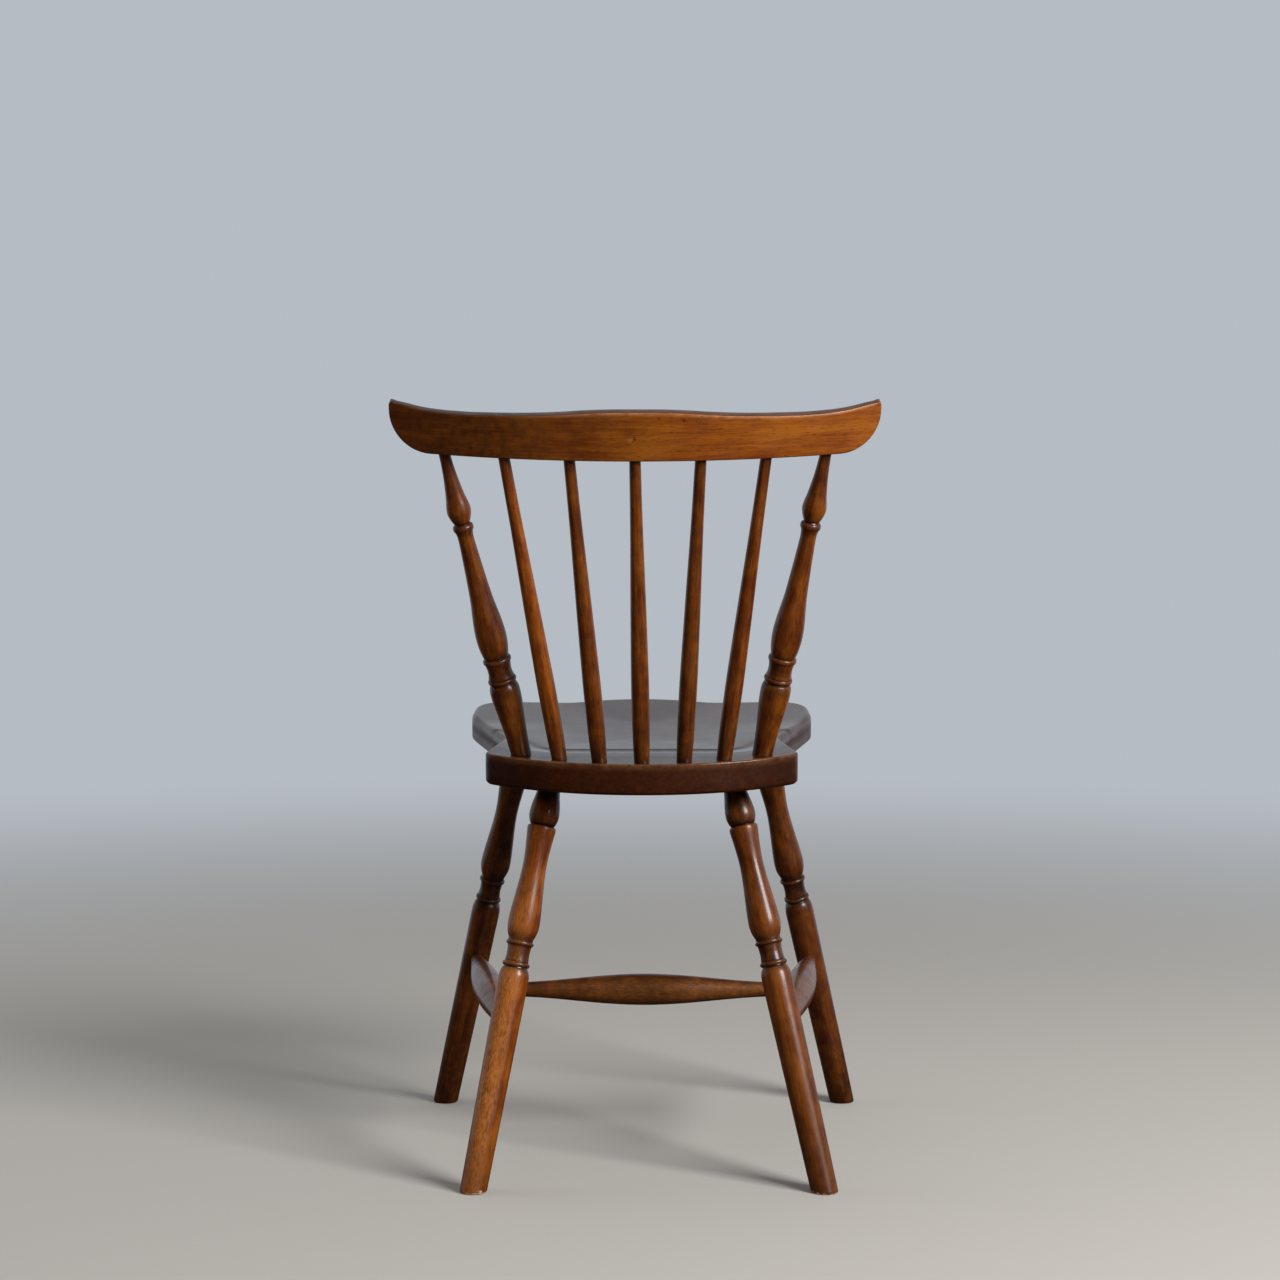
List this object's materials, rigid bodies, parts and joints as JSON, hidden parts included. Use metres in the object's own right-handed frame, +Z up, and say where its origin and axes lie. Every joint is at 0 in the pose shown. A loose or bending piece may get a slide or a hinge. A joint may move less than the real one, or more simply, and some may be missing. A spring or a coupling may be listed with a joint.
{
  "type": "spindle-back chair",
  "caption": "Wooden spindle-back side chair with a saddled seat, curved crest rail, turned posts and splayed turned legs joined by an H of swelled stretchers.",
  "frame": {"origin": "on the floor, in the middle of the chair's bounding box", "axes": "+Z up, the chair faces -Y, the sitter's left is at +X"},
  "size_m": [0.5002, 0.4972, 0.8113],
  "materials": {
    "seat_wood": "dark brown stain under a worn satin varnish",
    "rail_wood": "warm brown stain under satin varnish",
    "turned_wood": "brown stain under gloss varnish, darker in the turned grooves"
  },
  "bodies": {
    "root": {"seat": "seat_wood", "crest_rail": "rail_wood", "back_post_left": "turned_wood", "back_post_right": "turned_wood", "spindle_1": "turned_wood", "spindle_2": "turned_wood", "spindle_3": "turned_wood", "spindle_4": "turned_wood", "spindle_5": "turned_wood", "leg_front_left": "turned_wood", "leg_front_right": "turned_wood", "leg_rear_left": "turned_wood", "leg_rear_right": "turned_wood", "side_stretcher_left": "turned_wood", "side_stretcher_right": "turned_wood", "cross_stretcher": "turned_wood"}
  },
  "joints": []
}
